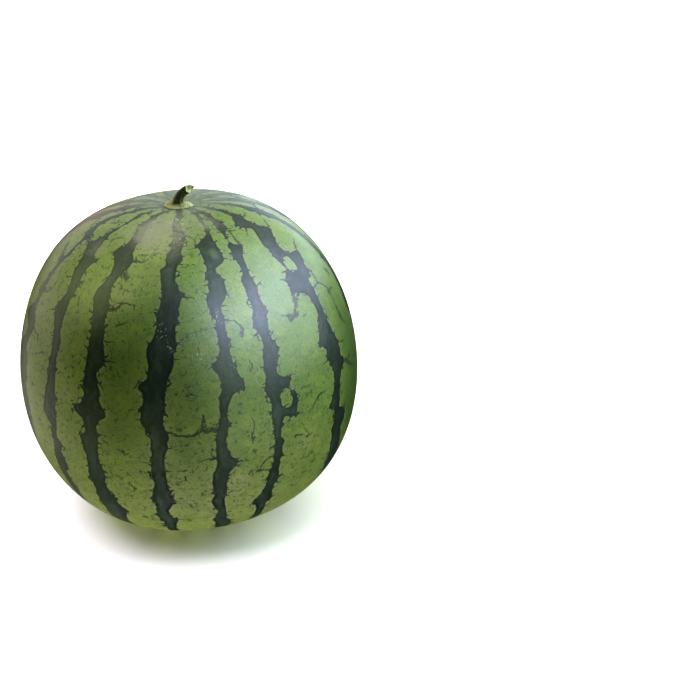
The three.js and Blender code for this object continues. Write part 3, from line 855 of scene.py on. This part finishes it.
# Marks along the walls between cells: how near a wall they lie, in cell widths, and where
# in a noise they show
TEETH = ((0.0, 0.10), (0.38, 0.62))
STROKES = ((0.004, 0.06), (0.52, 0.58))
SHORT_STROKES = ((0.03, 0.13), (0.58, 0.64))
FAINT_NET = ((0.0, 0.20), (0.30, 0.65))
DASHES = ((0.02, 0.12), (0.57, 0.63))
SPECKS = (0.66, 0.71)  # where a noise leaves dark specks, and pale flecks that are partly painted glints
FLECK_GLINT_RANGE = (0.64, 0.68)
RAY_SCALE = 9.0  # features of the crown's rays: round it, and outwards for each millimetre
RAY_DRIFT = 0.08
# In millimetres: how far each pattern moves the stripes' edges
LOBE_REACH = 1.2
TOOTH_REACH = 3.0
SCALLOP_REACH = 2.6
FINE_SCALLOP_REACH = 0.2
GRIT_REACH = 0.3
# In millimetres: from where to where something changes, and the places it is measured from
STRIPE_EDGE = (-0.4, 0.4)  # depth in a stripe
PALE_RIM = (-2.2, -0.5)  # the same, outside it
DARK_RIM = (1.0, 3.0)  # the same, inside it
GREEN_SIDE = (-95.0, 40.0)  # X, from the yellow bands to the green ones
YELLOW_FOOT = (10.0, 110.0)  # height, from the yellower foot up
HIGHLIGHT_SIDE = (0.0, 60.0)  # X and height of the +X shoulder where the strokes fade under the painted highlight
HIGHLIGHT_HEIGHT = (110.0, 175.0)
CROWN_MIDDLE = (-2.0, 26.0, 0.0)
CROWN_EDGE = (22.0, 50.0)
CROWN_HEIGHT = (150.0, 200.0)
CROWN_RAGGEDNESS = 26.0
STEM_FOOT = (-3.0, 0.0, 0.0)
PALE_CORK_SIDE = (-2.0, 5.0)  # X, from the collar's darker side to its pale one
SCAR_EDGE = (3.0, 6.0)
SCAR_HEIGHT = (1.0, 20.0)
# Colours that vary the bands and the stripes
CELL_YELLOW = (0.24, 0.32, 0.044)
CLOUD_GREEN = (0.19, 0.285, 0.036)
CRUMB_PALE = (0.27, 0.35, 0.12)
# The pale tone is partly a painted highlight; the dark tones, on the bands and on the stripes, are
# partly painted shade
TONE_PALE_AND_HIGHLIGHT = (0.32, 0.38, 0.14)
TONE_DARK_AND_SHADE = (0.04, 0.085, 0.008)
STRIPE_SHADE = (0.005, 0.012, 0.005)
DULL_GREEN = (0.075, 0.12, 0.05)
# The rind's gloss. The wax lies over it as a coat.
RIND_SOCKETS = {"IOR": 1.41, "Coat Roughness": 0.42, "Coat IOR": 1.45}
PATCH_ROUGHNESS = 0.14  # what the patches, the crumbs and the crown add to its roughness
CRUMB_ROUGHNESS = 0.10
CROWN_ROUGHNESS = 0.12


def wall_marks(gap, patch, kind):
    """1 on marks along the walls between cells, where the patch noise is high."""
    near, shown = kind
    return gap.fading(*near) * patch.between(*shown)


class Rind:
    """What the rind's colours are worked out from: places, noises and stored numbers."""

    def __init__(self, tree):
        self.tree = tree
        self.place = place = millimetres(tree)
        self.east, _north, self.height = tree.parts(place)
        swirl = tree.noise(place, SWIRL_SCALE, output="Color") - (0.5, 0.5, 0.5)
        self.bent = (place + swirl * SWIRL_REACH) * (1.0, 1.0, 1.4)
        self.patches = tree.noise(place, PATCH_SCALE)
        self.crumbs = tree.noise(place, CRUMB_SCALE, detail=3.0, roughness=0.7)
        self.grit = self.crumbs - 0.5
        self.cloudy = tree.noise(place, CLOUD_SCALE, detail=3.0, roughness=0.6)
        drawn = self.bent * (1.0, 1.0, 0.3)
        self.smoke = tree.noise(drawn, SMOKE_SCALE, detail=4.0, roughness=0.6)
        self.cell_gap = tree.gap(self.bent, CELL_SCALE)
        self.fine_gap = tree.gap(self.bent, FINE_CELL_SCALE)
        # partly the rind's own tone and partly painted light: painted shade below 0, painted
        # highlight above it
        tone = tree.stored("tone")
        self.paler = tone.between(0.0, 1.0)
        self.darker = tone.fading(-1.0, 0.0)
        self.depth = self.ragged_depth()
        self.stripe = self.depth.between(*STRIPE_EDGE)
        self.line = self.thin_lines()

    def ragged_depth(self):
        """How deep in a stripe each place lies, in millimetres.

        The stripes' edges run along the round cells of the bands, and teeth of dark green
        reach in between the cells.
        """
        lobes = (self.tree.noise(self.place, LOBE_SCALE, detail=1.0) - 0.5) * LOBE_REACH
        teeth = wall_marks(self.cell_gap, self.patches, TEETH) * TOOTH_REACH
        raggedness = self.patches.between(0.3, 0.7) * 0.8 + 0.35
        scallops = (0.17 - self.cell_gap) * SCALLOP_REACH
        scallops = scallops + (0.15 - self.fine_gap) * FINE_SCALLOP_REACH
        depth = self.tree.stored("stripe_depth") + lobes + teeth
        return depth + scallops * raggedness + self.grit * GRIT_REACH

    def thin_lines(self):
        """1 on the thin dark lines across the bands, which wander a little."""
        sway = self.tree.noise(self.place, LINE_SWAY_SCALE) - 0.5
        side = (self.tree.stored("line_side") + sway * 3.5).function("ABSOLUTE")
        reach = self.tree.stored("line_reach") + 0.5
        line = ((0.85 - side) * 0.8).function("MINIMUM", reach)
        return (line + (0.12 - self.fine_gap)).between(-0.3, 0.35)


def band_colour(tree, rind, settings):
    """The light bands: yellower on the -X side, clouded, with a fine net of strokes, and with
    painted shade and painted highlight in places.
    """
    hue = rind.east.between(*GREEN_SIDE) * 0.95 - rind.height.fading(*YELLOW_FOOT) * 0.45
    hue = hue + (tree.noise(rind.place, BROAD_HUE_SCALE) - 0.5) * 0.9
    hue = hue + (tree.noise(rind.place, LOBE_SCALE, detail=3.0) - 0.5) * 0.8
    cell = tree.parts(tree.cells(rind.bent, CELL_SCALE, "Color"))

    stroke_patch = tree.noise(rind.place, STROKE_PATCH_SCALE)
    strokes = wall_marks(rind.cell_gap, stroke_patch, STROKES)
    short = wall_marks(rind.fine_gap, stroke_patch, SHORT_STROKES)
    faint = wall_marks(rind.fine_gap, rind.patches, FAINT_NET)
    dash_gap = tree.gap(rind.bent * (1.0, 1.0, 0.7), DASH_CELL_SCALE)
    dash_patch = tree.noise(rind.place, DASH_PATCH_SCALE, detail=1.0)
    dashes = wall_marks(dash_gap, dash_patch, DASHES)
    specks = tree.noise(rind.bent, SPECK_SCALE, detail=1.0).between(*SPECKS)
    # painted highlight: the strokes are painted fainter on the +X shoulder, where the highlight
    # falls
    under_highlight = rind.east.between(*HIGHLIGHT_SIDE) * rind.height.between(*HIGHLIGHT_HEIGHT)
    away_from_highlight = 1.0 - under_highlight * 0.7

    return tree.coated(
        settings.light_yellow,
        (hue, settings.light_green),
        (cell[0] * 0.35, settings.light_deep),
        (cell[1].between(0.55, 1.0) * 0.4, CELL_YELLOW),
        (rind.cloudy.between(0.35, 0.7) * 0.30, CLOUD_GREEN),
        (rind.crumbs.between(0.50, 0.72) * 0.42, CRUMB_PALE),
        # partly painted highlight and painted shade
        (rind.paler, TONE_PALE_AND_HIGHLIGHT),
        (rind.darker, TONE_DARK_AND_SHADE),
        (faint * 0.30, settings.vein_green),
        (rind.crumbs.fading(0.28, 0.50) * 0.38, settings.vein_green),
        (strokes * away_from_highlight * 0.75, settings.vein_green),
        (dashes * away_from_highlight * 0.85, settings.dash_green),
        (short * away_from_highlight * 0.3, settings.vein_green),
        (specks * away_from_highlight * 0.8, settings.dash_green),
        (rind.depth.between(*PALE_RIM) * 0.35, settings.rim_pale),
        (rind.line * 0.92, settings.line_green),
    )


def stripe_colour(tree, rind, settings):
    """The dark stripes: clouded inside, darkest along their edges, with painted shade and painted
    sheen in places.
    """
    # partly painted sheen: the stored fades
    pale = rind.smoke.between(0.42, 0.70) * 0.7 + tree.stored("fade") * (rind.smoke + 0.3)
    edge = (rind.depth + rind.grit * 1.4).fading(*DARK_RIM)
    dull = (tree.stored("stripe_cloud") + rind.grit * 4.0).between(-0.5, 2.5)
    return tree.coated(
        settings.stripe_dark,
        (pale, settings.stripe_pale),
        (edge * 0.95, settings.stripe_edge),
        # partly painted shade on the stripes
        (rind.darker, STRIPE_SHADE),
        (dull * 0.75, DULL_GREEN),
    )


def crown_share(rind):
    """1 on the grey crown about the stem, whose grey is partly a painted sheen."""
    out = ((rind.place - CROWN_MIDDLE) * LEVEL).vector("LENGTH", output="Value")
    crown = (out + (rind.patches - 0.5) * CROWN_RAGGEDNESS).fading(*CROWN_EDGE)
    return crown * rind.height.between(*CROWN_HEIGHT)


def weathered_and_painted_light(tree, rind, settings, base, crown):
    """The rind's colour under its grey crown with faint rays, its spots and its scar, with painted
    light: sheen on the crown and the dust, glints in the flecks, a red reflection on the -X rim.
    """
    flat = (rind.place - STEM_FOOT) * LEVEL
    ray_place = flat.vector("NORMALIZE") * RAY_SCALE + flat * RAY_DRIFT
    rays = tree.noise(ray_place, 1.0, detail=3.0, roughness=0.7).between(0.35, 0.65)
    # painted reflection: the red on the upper -X rim
    red_reflection_share = rind.crumbs.between(0.2, 0.6) * 0.5 + rind.cloudy.between(0.3, 0.6) * 0.7
    # painted sheen, partly: the dusty places near the crown
    dust_and_sheen_noise = rind.crumbs.between(0.3, 0.7) * 0.5 + rind.smoke.between(0.3, 0.7) + 0.5
    powder_and_sheen = (tree.stored("dust_and_sheen") * dust_and_sheen_noise).function("MINIMUM", 0.8)
    # partly painted glints: pale flecks in the scuffed places
    fleck_glints = tree.noise(rind.bent * (1.0, 1.0, 0.6), FLECK_GLINT_SCALE, detail=1.0)
    scuffed_and_glinting = tree.stored("scuffs_and_glints").between(0.25, 0.7)
    foot = (rind.place * LEVEL).vector("LENGTH", output="Value")
    scar = (foot + rind.grit * 3.0).fading(*SCAR_EDGE) * rind.height.fading(*SCAR_HEIGHT)
    return tree.coated(
        base,
        # the crown's grey, partly a painted sheen
        (crown * 0.74, tree.coated(settings.crown_dark, (rays, settings.crown_pale))),
        (tree.stored("painted_red_reflection") * red_reflection_share, settings.painted_red_reflection),
        (powder_and_sheen, settings.powder_and_sheen),
        (fleck_glints.between(*FLECK_GLINT_RANGE) * scuffed_and_glinting, settings.fleck_and_glint),
        (scar, settings.scar),
    )


def rind_material(settings):
    """The waxy rind: yellow-green bands with a fine net, and black-green jagged stripes."""
    material, tree, surface = new_material("rind", RIND_SOCKETS)
    rind = Rind(tree)
    bands = band_colour(tree, rind, settings)
    base = tree.coated(bands, (rind.stripe, stripe_colour(tree, rind, settings)))
    crown = crown_share(rind)
    marks = rind.stripe.function("MAXIMUM", rind.line)
    rough = rind.patches * PATCH_ROUGHNESS + rind.crumbs * CRUMB_ROUGHNESS
    smooth = settings.gloss_roughness - (PATCH_ROUGHNESS + CRUMB_ROUGHNESS) / 2
    relief = tree.noise(rind.place, WAVE_RELIEF_SCALE) * 1.2 + rind.crumbs * 0.35 - marks * 0.35
    bump = {"Height": relief, "Strength": 0.25, "Distance": 0.5 * MM}
    drive(tree, surface, {
        "Base Color": weathered_and_painted_light(tree, rind, settings, base, crown),
        "Roughness": rough + crown * CROWN_ROUGHNESS + smooth,
        "Coat Weight": (1.0 - marks) * settings.wax,  # the wax is on the light bands
        "Normal": tree.node("ShaderNodeBump", bump, output="Normal"),
    })
    return material


def stem_material(settings):
    """Dry ribbed bark with a painted highlight on its ridges, a pale corky collar with a painted
    highlight on its rim, and a pale cut end with dried pith that is partly painted shade.
    """
    material, tree, surface = new_material("stem", {"Specular IOR Level": 0.1})
    place = millimetres(tree)
    ridge_and_highlight = tree.stored("ridge_and_highlight")
    grain = tree.noise(place * (1.6, 1.6, 0.35), 1.2, detail=4.0, roughness=0.7)
    crumbs = tree.noise(place, 1.4, detail=4.0, roughness=0.75)
    grit = crumbs - 0.5

    # paler ridges, partly a painted highlight
    crest = ridge_and_highlight * ridge_and_highlight * ridge_and_highlight + (grain - 0.5) * 0.7
    bark = tree.coated(settings.bark, (crest.between(0.3, 1.0), settings.bark_ridge_and_highlight))
    east = tree.parts(place)[0]
    # painted highlight on the collar's rim, and paler on the +X side
    pale_side_and_rim_highlight = (east + grit * 8.0).between(*PALE_CORK_SIDE) + tree.stored("rim") * 0.8
    ragged_collar = tree.stored("collar") + grit * 0.5
    cork = tree.coated(
        settings.cork,
        (pale_side_and_rim_highlight, settings.cork_pale_and_rim_highlight),
        (crumbs.fading(0.3, 0.6) * 0.7, settings.cork_brown),
        # darker brown where the shaft leaves the collar
        (ragged_collar.fading(0.35, 0.75), settings.cork_brown),
    )
    # dried pith, partly painted shade of the cut end
    dried_and_shaded = (tree.stored("pith_and_shade") + grit * 0.4).between(0.3, 0.7)
    core = tree.coated(settings.cut_pale, (dried_and_shaded, settings.pith_and_shade))
    cut = (tree.stored("cut") + grit * 0.3).between(0.35, 0.6)
    bump = {"Height": grain + crumbs * 0.6, "Strength": 0.6, "Distance": 0.6 * MM}
    drive(tree, surface, {
        "Base Color": tree.coated(bark, (ragged_collar.between(0.2, 0.5), cork), (cut, core)),
        "Roughness": grain * 0.2 + 0.62,
        "Normal": tree.node("ShaderNodeBump", bump, output="Normal"),
    })
    return material


# ---------------------------------------------------------------- the stem

STEM_PLACE = (-3 * MM, 0.0)  # where the stem leaves the fruit, off the middle
COLLAR_DEPTH_RATIO = 0.74  # the collar's reach along Y over its reach along X
COLLAR_TOP = 1.2 * MM
COLLAR_RIM = 0.8  # where the collar's rim starts, in shares of its radius; it carries a painted highlight
COLLAR_LOBES = [(3, 0, 0.05), (7, 1, 0.035), (16, 0, 0.02)]  # count, turn, share of radius
SHAFT_FOOT = 3.8 * MM  # height where the collar has run out into the shaft
BEND_START = 2.0 * MM
CUT_SLANT = 0.5  # rise of the slanted cut for its depth along Y
CUT_REACH = 4.0 * MM  # length of shaft over which its sides run out to the cut
CUT_FLARE = 1.06  # of the cut end, in shares of the shaft's radius
HOLLOW_DEPTH = 0.9 * MM  # of the dried pith in the cut
FACE_SWELL = 0.12 * MM  # of the cut end round that hollow
RIB_COUNT = 5
RIB_HEIGHT = 0.09  # share of the radius
WRINKLES = [(13, 2, 0.35), (23, 0, 0.25)]  # count, turn, share of the wrinkles' height
WRINKLE_HEIGHT = 0.025  # share of the radius
TWIST = 0.035 / MM  # of the ribs, in radians for each metre
RIDGE_HIGHLIGHT_SIDE = 232 * DEGREE  # where the painted highlight on the ridges is strongest, about the shaft from +X towards +Y
RIDGE_WIDTH = 0.55  # radians over which that painted highlight fades
SLIVER_SIDE = 80 * DEGREE  # of the torn bark, about the shaft from +X towards +Y
SLIVER_WIDTH = 0.42  # radians
SLIVER_HEIGHT = 2.6 * MM
GRAINS = [(700, 0.16 * MM), (1900, 0.10 * MM)]  # features for each metre, and height
GRAIN_SHARES = (0.35, 1.4)  # how much of it lies on the bark, and how much more on cork
# From where to where something changes across the cut: 0 is its rim, and 1 its middle
CUT_EDGE = (0.0, 0.06)
CRUMBLE_EDGE = (0.0, 0.1)
SLIVER_EDGE = (0.0, 0.4)
HOLLOW_EDGE = (0.25, 0.75)
PITH_AND_SHADE_EDGE = (0.3, 0.62)
STEM_SIDES = 96
ROW_STEP = 0.22 * MM
FACE_ROWS = np.linspace(0.04, 1.0, 16)  # of the cut, on the same scale
# The stem's outline from under the collar up to the cut: radius, in shares of the collar's
# or the shaft's, and height in mm
COLLAR_OUTLINE = [
    (0.0, 0.0), (1.0, 0.0), (0.99, 0.35), (0.95, 0.75), (0.86, 1.1), (0.72, 1.35), (0.57, 1.6),
]
SHAFT_OUTLINE = [
    (1.45, 2.0), (1.27, 2.9), (1.18, 3.8), (1.09, 4.8), (1.03, 5.8), (1.0, 7.8), (1.0, 9.8),
    (1.02, 12.2),
]


def smooth_share(value, low, high):
    share = np.clip((value - low) / (high - low), 0, 1)
    return share * share * (3 - 2 * share)


def waves(turn, kinds):
    """The sum of waves round the stem."""
    return sum(height * np.cos(count * turn + start) for count, start, height in kinds)


def rind_radius(units, settings):
    """Distance from the heart to the rind, along unit vectors, as in the body's tree."""
    latitude = np.arcsin(np.clip(units[:, 2], -1, 1))
    radius = settings.mean_radius + settings.waist * np.cos(2 * latitude)
    radius -= settings.shoulders * np.cos(4 * latitude) + settings.taper * np.sin(3 * latitude)
    bumps = [(bearing, middle, SWELL_SPREAD, swell * MM) for bearing, middle, swell in SWELLS]
    return radius + spots(units, [(0, 90, DIP_SPREAD, -settings.dip_depth), *bumps])


def rind_height(across, along, settings):
    """Height of the rind above the floor, near the stem."""
    up = np.full(across.shape, settings.mean_radius)
    for _ in range(5):
        places = np.stack([across, along, up], 1)
        units = places / np.linalg.norm(places, axis=1)[:, None]
        up = np.sqrt(rind_radius(units, settings) ** 2 - across**2 - along**2)
    return settings.heart_height + up


def stem_rows(settings):
    """Radius, height and place in the cut (0 outside, 1 at its middle) of each row."""
    top = settings.length
    rim = CUT_FLARE * settings.shaft_radius
    outline = [(share * settings.collar_radius, height * MM) for share, height in COLLAR_OUTLINE]
    outline += [(share * settings.shaft_radius, height * MM) for share, height in SHAFT_OUTLINE]
    outline = np.array([*outline, (rim, top)])
    lengths = np.linalg.norm(np.diff(outline, axis=0), axis=1)
    at = np.concatenate([[0.0], np.cumsum(lengths)])
    fine = np.arange(0.0, at[-1], ROW_STEP)
    side = np.stack([*(np.interp(fine, at, column) for column in outline.T), 0 * fine], 1)
    face = [(rim, top, 0.01)]  # a little above 0, because this row is the cut's rim
    for inward in FACE_ROWS:
        hollow = HOLLOW_DEPTH * smooth_share(inward, *HOLLOW_EDGE)
        height = top + FACE_SWELL * math.sin(4 * inward) - hollow
        face.append((rim * (1 - inward), height, inward))
    return np.concatenate([side, face])


def bent_stem(across, height, settings):
    """Leans the stem towards +X along an arc whose lean grows evenly."""
    first, last = settings.first_lean, settings.last_lean
    arc = (settings.length - BEND_START) / (last - first)
    lean = first + (height - BEND_START) / arc
    tilt = lean * smooth_share(height, BEND_START, SHAFT_FOOT)
    bent_x = arc * (np.cos(first) - np.cos(lean)) + across * np.cos(tilt)
    bent_z = BEND_START + arc * (np.sin(lean) - np.sin(first)) - across * np.sin(tilt)
    is_bent = height > BEND_START
    return np.where(is_bent, bent_x, across), np.where(is_bent, bent_z, height)


def stem_shape(settings, fruit_settings):
    """The place of each point, row by row, and the numbers that the stem's colours need."""
    rows = stem_rows(settings)
    turn = np.linspace(0, 2 * math.pi, STEM_SIDES, endpoint=False)
    radius, height, inward = (column[:, None] * np.ones(STEM_SIDES) for column in rows.T)
    collar = 1 - smooth_share(height, COLLAR_TOP, SHAFT_FOOT)
    # the collar's rim, where a highlight is painted
    rim = collar * (height < COLLAR_TOP) * (radius > COLLAR_RIM * settings.collar_radius)

    twist = turn + TWIST * height
    rib = np.cos(RIB_COUNT * (twist - RIDGE_HIGHLIGHT_SIDE))
    # painted highlight along the ridges on one side
    pale = 0.25 + 0.75 * np.exp(-(((twist - RIDGE_HIGHLIGHT_SIDE) / RIDGE_WIDTH) ** 2))
    ribs = RIB_HEIGHT * rib + WRINKLE_HEIGHT * waves(twist, WRINKLES)
    radius = radius * (1 + (1 - collar) * ribs) * (1 + collar * waves(turn, COLLAR_LOBES))
    across = radius * np.cos(turn)
    along = radius * np.sin(turn) * (1 - collar * (1 - COLLAR_DEPTH_RATIO))

    # the slanted cut, with a torn sliver of bark on its far side
    reach = smooth_share(height, settings.length - CUT_REACH, settings.length)
    sliver = np.exp(-(((turn - SLIVER_SIDE) / SLIVER_WIDTH) ** 2))
    sliver = sliver * (1 - smooth_share(inward, *SLIVER_EDGE))
    height = height + reach * (CUT_SLANT * along + SLIVER_HEIGHT * sliver)

    across, height = bent_stem(across, height, settings)
    # no row dips below the one under it, where the bend would fold the collar
    outside = inward[:, 0] == 0
    height[outside] = np.maximum.accumulate(height[outside], axis=0)

    # the collar follows the rind, and the shaft stands on the rind under its middle
    across = across + STEM_PLACE[0]
    along = along + STEM_PLACE[1]
    seat = rind_height(*np.array(STEM_PLACE)[:, None], fruit_settings)[0]
    rind = rind_height(across.ravel(), along.ravel(), fruit_settings).reshape(across.shape)
    height = height + seat + collar * (rind - seat)

    torn = 1.3 * sliver * smooth_share(reach, 0.9, 1)
    fields = {
        "collar": collar,
        "ridge_and_highlight": pale * (0.5 + 0.5 * rib),
        "cut": smooth_share(inward, *CUT_EDGE),
        "pith_and_shade": np.maximum(smooth_share(inward, *PITH_AND_SHADE_EDGE), torn),
        "rim": rim,
    }
    crumble = collar * (1 - smooth_share(inward, *CRUMBLE_EDGE))
    return np.stack([across, along, height], -1), fields, crumble


def close_poles(mesh):
    """Merges the points that meet at either end of a turned mesh, and faces it outwards."""
    body = bmesh.new()
    body.from_mesh(mesh)
    bmesh.ops.remove_doubles(body, verts=body.verts, dist=0.01 * MM)
    bmesh.ops.recalc_face_normals(body, faces=body.faces)
    for face in body.faces:
        face.smooth = True
    body.to_mesh(mesh)
    body.free()


def stem_object(settings, fruit_settings):
    """The stem as one closed mesh: slightly rough, and crumbly where it is cork."""
    places, fields, crumble = stem_shape(settings, fruit_settings)
    points = [Vector(place) for place in places.reshape(-1, 3)]
    least, more = GRAIN_SHARES
    for point, share in zip(points, crumble.ravel()):
        rough = sum(noise.noise(point * scale) * height for scale, height in GRAINS)
        point.z += rough * (least + more * share)
    faces = []
    for row in range(0, len(points) - STEM_SIDES, STEM_SIDES):
        for side in range(STEM_SIDES):
            near, far = row + side, row + (side + 1) % STEM_SIDES
            faces.append((near, far, far + STEM_SIDES, near + STEM_SIDES))
    mesh = bpy.data.meshes.new("stem_stub")
    mesh.from_pydata(points, [], faces)
    store(mesh, fields)
    close_poles(mesh)
    return add_object("stem_stub", mesh)


# ---------------------------------------------------------------- the stage

FLOOR_SIDES = 96
SENSOR_WIDTH = 36.0
# The fruit's heart from the middle of the frame, in shares of the frame's width
HEART_RIGHT = -0.2257
HEART_DOWN = 0.0101

# Colours of the light
DAYLIGHT = (0.65, 0.70, 1.0)
PALE_DAYLIGHT = (0.75, 0.87, 1.0)
LEAFY = (0.80, 1.0, 0.80)
MOSSY = (0.90, 1.0, 0.42)
WARM = (1.0, 0.94, 0.70)
ROSY = (0.93, 0.75, 1.0)
PLAIN = (1.0, 1.0, 1.0)

# The studio: name, bearing and latitude of the lamp's direction from the heart in degrees,
# distance, width and height in metres, and its brightness and colour
LAMPS = [
    ("key", 98, 42, 3.0, 2.2, 2.6, 5.5, LEAFY),
    ("top light", 150, 60, 3.0, 2.4, 2.0, 4.0, WARM),
    ("back light", 190, 50, 3.0, 1.8, 1.8, 2.0, WARM),
    ("left fill", 260, 24, 2.6, 1.6, 1.3, 2.3, MOSSY),
]
# Light thrown back by a bright table. These lamps stand under the floor, which casts no
# shadow.
BOUNCE = [
    ("table bounce", 90, -89, 1.5, 1.6, 1.6, 4.5, ROSY),
    ("front bounce", 0, -45, 1.5, 1.2, 1.2, 3.5, WARM),
    ("left bounce", 270, -45, 1.5, 1.2, 1.2, 1.3, PLAIN),
    ("right bounce", 90, -45, 1.5, 1.2, 1.2, 1.2, ROSY),
]
# Lights the floor alone, so that the fruit's shadow stays pale
FLOOR_WASH = ("floor wash", 290, 75, 3.4, 3.4, 3.4, 10.0, PLAIN)
# Cards that only show as soft reflections on the wax. The low ones reach below the floor,
# whose own reflection they stand in for.
CARDS = [
    ("window", 75, 38, 1.3, 1.30, 0.80, 14.0, DAYLIGHT),
    ("window left", 32, 40, 1.3, 0.45, 0.80, 9.0, DAYLIGHT),
    ("window right", 123, 32, 1.3, 0.55, 1.10, 6.5, DAYLIGHT),
    ("window top", 75, 70, 1.3, 1.40, 0.50, 4.6, PALE_DAYLIGHT),
    ("window sill", 80, 8, 1.3, 1.50, 0.45, 5.3, PALE_DAYLIGHT),
    ("sill left", 35, 12, 1.3, 0.50, 0.45, 4.5, LEAFY),
    ("right back wall", 160, 9, 1.3, 0.90, 0.42, 3.0, PALE_DAYLIGHT),
    ("back wall top", 155, 38, 1.3, 0.60, 0.60, 0.9, PLAIN),
    ("back wall", 205, 22, 1.3, 1.10, 1.10, 0.9, PLAIN),
    ("back top", 220, 64, 1.3, 0.90, 0.60, 1.1, WARM),
    ("left card", 270, 38, 1.3, 0.90, 0.70, 3.2, MOSSY),
    ("left top", 290, 66, 1.3, 0.70, 0.60, 2.0, WARM),
    ("left wall", 250, 5, 1.3, 1.20, 0.60, 1.2, WARM),
    ("left table", 255, -25, 1.3, 1.40, 0.60, 0.8, WARM),
    ("front table", 320, -25, 1.3, 1.20, 0.60, 0.5, MOSSY),
    ("under table", 250, -50, 1.3, 1.40, 0.60, 0.2, WARM),
    ("right table", 40, -22, 1.3, 0.80, 0.50, 2.0, LEAFY),
]


def add_lamp(lamp, heart):
    """An area lamp that looks at the fruit's heart, and that the camera doesn't see."""
    name, bearing, latitude, distance, wide, tall, brightness, tint = lamp
    made = bpy.data.lights.new(name, "AREA")
    made.shape = "RECTANGLE"
    made.size = wide
    made.size_y = tall
    made.energy = math.pi * wide * tall * brightness
    made.color = tint
    way = Vector(direction(bearing, latitude))
    holder = add_object(name, made)
    holder.visible_camera = False
    holder.location = heart + way * distance
    holder.rotation_euler = (-way).to_track_quat("-Z", "Y").to_euler()
    return holder


def add_camera(settings, heart):
    camera = bpy.data.cameras.new("camera")
    camera.lens = settings.lens
    camera.sensor_width = SENSOR_WIDTH
    eye = add_object("camera", camera)
    eye.rotation_euler = Euler((math.pi / 2 - settings.camera_pitch, 0, 0))
    right, up, back = (Vector(axis) for axis in eye.rotation_euler.to_matrix().transposed())
    ray = right * HEART_RIGHT - up * HEART_DOWN - back * settings.lens / SENSOR_WIDTH
    eye.location = heart - ray.normalized() * settings.camera_distance
    bpy.context.scene.camera = eye


def add_floor(settings):
    """A plain round floor that takes the fruit's shadow but adds no light to the fruit."""
    turns = [2 * math.pi * side / FLOOR_SIDES for side in range(FLOOR_SIDES)]
    reach = settings.floor_size / 2
    rim = [(reach * math.cos(turn), reach * math.sin(turn), 0) for turn in turns]
    mesh = bpy.data.meshes.new("floor")
    mesh.from_pydata(rim, [], [tuple(range(FLOOR_SIDES))])
    sockets = {"Base Color": (*settings.floor_colour, 1.0), "Roughness": 0.9}
    mesh.materials.append(new_material("floor", sockets)[0])
    floor = add_object("floor", mesh)
    floor.visible_diffuse = False
    floor.visible_glossy = False
    floor.visible_shadow = False
    return floor


def set_world():
    """A white surrounding that only the camera sees."""
    world = bpy.data.worlds.new("studio")
    world.use_nodes = True
    world.node_tree.nodes["Background"].inputs["Color"].default_value = (1.0, 1.0, 1.0, 1.0)
    world.cycles_visibility.diffuse = False
    world.cycles_visibility.glossy = False
    bpy.context.scene.world = world
    bpy.context.scene.view_settings.view_transform = "Standard"


def add_lamps(heart, floor):
    for lamp in LAMPS + BOUNCE:
        add_lamp(lamp, heart).visible_glossy = False
    for card in CARDS:
        add_lamp(card, heart).visible_diffuse = False
    wash = add_lamp(FLOOR_WASH, heart)
    wash.visible_glossy = False
    wash.light_linking.receiver_collection = bpy.data.collections.new("floor alone")
    wash.light_linking.receiver_collection.objects.link(floor)
    wash.light_linking.blocker_collection = bpy.data.collections.new("nothing")


# ---------------------------------------------------------------- the add-on


class WATERMELON_OT_fruit(bpy.types.Operator):
    """Build the fruit's body, mark its stripes and give it its rind"""

    bl_idname = "watermelon.fruit"
    bl_label = "Fruit"

    def execute(self, context):
        settings = context.scene.watermelon_fruit
        tree = body_tree(rind_material(settings))
        fruit = mesh_from_tree("fruit_rind", tree, settings)
        mark_rind(fruit, settings)
        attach(fruit, "root")
        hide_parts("fruit")
        return {"FINISHED"}


class WATERMELON_OT_stem(bpy.types.Operator):
    """Build the stem stub with its collar and its cut end"""

    bl_idname = "watermelon.stem"
    bl_label = "Stem"

    def execute(self, context):
        settings = context.scene.watermelon_stem
        stem = stem_object(settings, context.scene.watermelon_fruit)
        stem.data.materials.append(stem_material(settings))
        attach(stem, "root")
        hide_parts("stem")
        return {"FINISHED"}


class WATERMELON_OT_stage(bpy.types.Operator):
    """Set the camera, the floor and the soft lights"""

    bl_idname = "watermelon.stage"
    bl_label = "Stage"

    def execute(self, context):
        settings = context.scene.watermelon_stage
        heart = Vector((0, 0, context.scene.watermelon_fruit.heart_height))
        add_camera(settings, heart)
        floor = add_floor(settings)
        set_world()
        add_lamps(heart, floor)
        return {"FINISHED"}


class WATERMELON_PT_panel(bpy.types.Panel):
    """Lists the watermelon's pieces and their settings"""

    bl_idname = "WATERMELON_PT_panel"
    bl_label = "Watermelon"
    bl_space_type = "VIEW_3D"
    bl_region_type = "UI"
    bl_category = "Watermelon"

    def draw(self, context):
        for name in SETTINGS:
            box = self.layout.box()
            box.operator(name.replace("_", "."))
            settings = getattr(context.scene, name)
            for key in settings.bl_rna.properties.keys():
                if key not in ("rna_type", "name"):
                    box.prop(settings, key)


SETTINGS = {
    "watermelon_fruit": FruitSettings,
    "watermelon_stem": StemSettings,
    "watermelon_stage": StageSettings,
}
CLASSES = (
    *SETTINGS.values(),
    WATERMELON_OT_fruit, WATERMELON_OT_stem, WATERMELON_OT_stage, WATERMELON_PT_panel,
)


def register():
    for each in CLASSES:
        bpy.utils.register_class(each)
    for name, kind in SETTINGS.items():
        setattr(bpy.types.Scene, name, bpy.props.PointerProperty(type=kind))


def unregister():
    for name in SETTINGS:
        delattr(bpy.types.Scene, name)
    for each in reversed(CLASSES):
        bpy.utils.unregister_class(each)


def main():
    register()
    bpy.ops.watermelon.stage()
    bpy.ops.watermelon.fruit()
    bpy.ops.watermelon.stem()


if __name__ == "__main__":
    main()
